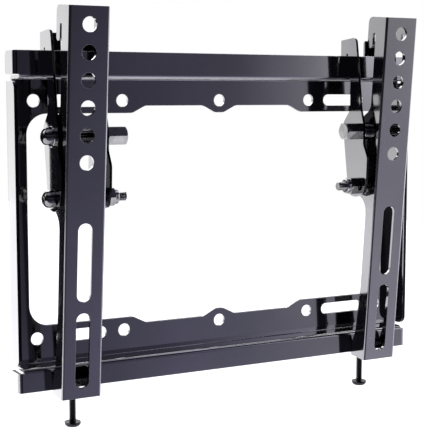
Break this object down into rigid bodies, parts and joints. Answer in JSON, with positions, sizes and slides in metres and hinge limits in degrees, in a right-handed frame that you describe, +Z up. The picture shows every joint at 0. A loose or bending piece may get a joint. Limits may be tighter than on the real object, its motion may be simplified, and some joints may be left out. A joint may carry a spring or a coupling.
{
  "type": "tilting tv wall bracket",
  "caption": "Folded steel wall plate with hooked vertical arms that slide along its upper rail and tilt on side pivots, with locking bolts and safety screws.",
  "frame": {"origin": "middle of the outer wall bolt holes, on the wall plate's wall-side face", "axes": "+X to the viewer's right along the rails, +Z up, -Y out of the wall towards the television"},
  "size_m": [0.2728, 0.0483, 0.2419],
  "materials": {
    "plate_steel": "gloss",
    "arm_steel": "gloss",
    "hook_steel": "gloss",
    "bolt_steel": "satin",
    "nut_steel": "satin",
    "nylon": "matt"
  },
  "bodies": {
    "wall_plate": {"wall_plate": "plate_steel"},
    "left_hanger": {"left_hook_bracket": "hook_steel", "left_pivot_bolt": "bolt_steel", "left_pivot_washer": "bolt_steel", "left_pivot_nut": "nut_steel", "left_pivot_spacer": "nut_steel", "left_pivot_sleeve": "nut_steel"},
    "left_tilt_arm": {"left_arm": "arm_steel", "left_lock_bolt": "bolt_steel", "left_lock_nut": "nut_steel", "left_lock_nut_ring": "nylon", "left_lock_spacer": "nut_steel"},
    "left_safety_screw_body": {"left_safety_screw": "bolt_steel"},
    "right_hanger": {"right_hook_bracket": "hook_steel", "right_pivot_bolt": "bolt_steel", "right_pivot_washer": "bolt_steel", "right_pivot_nut": "nut_steel", "right_pivot_spacer": "nut_steel", "right_pivot_sleeve": "nut_steel"},
    "right_tilt_arm": {"right_arm": "arm_steel", "right_lock_bolt": "bolt_steel", "right_lock_nut": "nut_steel", "right_lock_nut_ring": "nylon", "right_lock_spacer": "nut_steel"},
    "right_safety_screw_body": {"right_safety_screw": "bolt_steel"}
  },
  "joints": [
    {"name": "left_hanger_slide", "type": "slide", "parent": "wall_plate", "child": "left_hanger", "axis": [-1, 0, 0], "range_m": [-0.06, 0.014]},
    {"name": "left_tilt", "type": "hinge", "parent": "left_hanger", "child": "left_tilt_arm", "pos_m": [-0.10255, -0.0272, 0.04905], "axis": [1, 0, 0], "range_deg": [-8, 0]},
    {"name": "left_safety_screw_slide", "type": "slide", "parent": "left_tilt_arm", "child": "left_safety_screw_body", "axis": [0, 0, 1], "range_m": [0, 0.012]},
    {"name": "right_hanger_slide", "type": "slide", "parent": "wall_plate", "child": "right_hanger", "axis": [1, 0, 0], "range_m": [-0.06, 0.014]},
    {"name": "right_tilt", "type": "hinge", "parent": "right_hanger", "child": "right_tilt_arm", "pos_m": [0.10255, -0.0272, 0.04905], "axis": [1, 0, 0], "range_deg": [-8, 0]},
    {"name": "right_safety_screw_slide", "type": "slide", "parent": "right_tilt_arm", "child": "right_safety_screw_body", "axis": [0, 0, 1], "range_m": [0, 0.012]}
  ]
}
